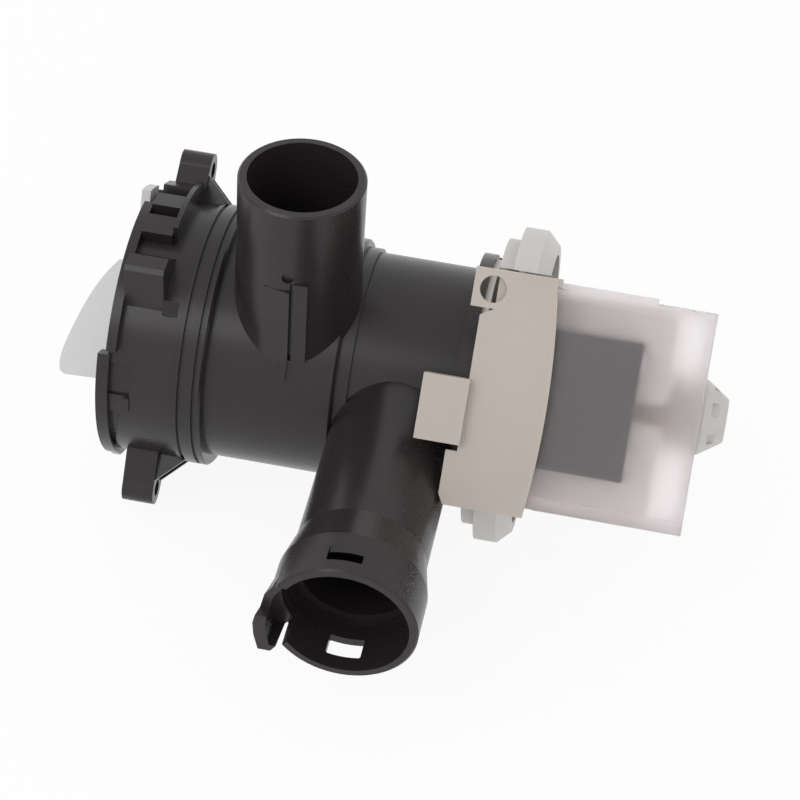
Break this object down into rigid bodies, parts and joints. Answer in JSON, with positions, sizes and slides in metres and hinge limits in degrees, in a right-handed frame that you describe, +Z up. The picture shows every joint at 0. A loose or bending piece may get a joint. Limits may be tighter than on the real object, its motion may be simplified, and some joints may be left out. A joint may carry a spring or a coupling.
{
  "type": "washer drain pump",
  "caption": "Drain pump with a filter chamber, bayonet filter cap, upright inlet spigot, side outlet with hose socket, volute and offset-coil synchronous motor.",
  "frame": {"origin": "on the pump axis, in the front face of the filter collar", "axes": "+X along the pump axis from the filter mouth to the motor, +Z up along the inlet spigot, -Y along the outlet"},
  "size_m": [0.2105, 0.1593, 0.1275],
  "materials": {
    "housing": "fine satin moulding",
    "cap": "satin pale grey",
    "strainer": "satin pale grey",
    "rubber": "matte",
    "motor_plastic": "satin ivory",
    "plate_plastic": "satin",
    "bearing": "polished",
    "steel": "bright",
    "magnet": "ground ferrite",
    "impeller": "satin",
    "laminations": "stamped sheets",
    "bobbin": "satin",
    "copper": "enamelled wire",
    "cover": "translucent"
  },
  "bodies": {
    "pump": {"pump_housing": "housing", "motor_flange": "motor_plastic", "housing_seal": "rubber", "bearing_plate": "plate_plastic", "can_seal": "rubber", "front_bearing_mount": "rubber", "front_bearing": "bearing", "rear_bearing_mount": "rubber", "rear_bearing": "bearing", "stator_core": "laminations", "core_rivets": "steel", "coil_bobbin_upper": "bobbin", "coil_bobbin_lower": "bobbin", "coil_winding_upper": "copper", "coil_winding_lower": "copper", "thermal_fuse": "steel", "motor_cover": "cover", "stator_frame": "motor_plastic", "terminal_blades": "steel"},
    "filter_slide": {"filter_seal": "rubber"},
    "filter": {"filter_cap": "cap", "filter_strainer": "strainer"},
    "rotor": {"rotor_shaft": "steel", "rotor_carrier": "plate_plastic", "rotor_magnet": "magnet", "thrust_washers": "bearing", "rotor_driver": "plate_plastic"},
    "impeller": {"impeller": "impeller", "impeller_hub_cap": "impeller"}
  },
  "joints": [
    {"name": "filter_pull", "type": "slide", "parent": "pump", "child": "filter_slide", "axis": [-1, 0, 0], "range_m": [0, 0.075]},
    {"name": "filter_turn", "type": "hinge", "parent": "filter_slide", "child": "filter", "pos_m": [0, 0, 0], "axis": [1, 0, 0], "range_deg": [0, 70]},
    {"name": "rotor_spin", "type": "hinge", "parent": "pump", "child": "rotor", "pos_m": [0.14, 0, 0], "axis": [1, 0, 0], "continuous": true},
    {"name": "impeller_lag", "type": "hinge", "parent": "rotor", "child": "impeller", "pos_m": [0.09, 0, 0], "axis": [1, 0, 0], "range_deg": [0, 185]}
  ]
}
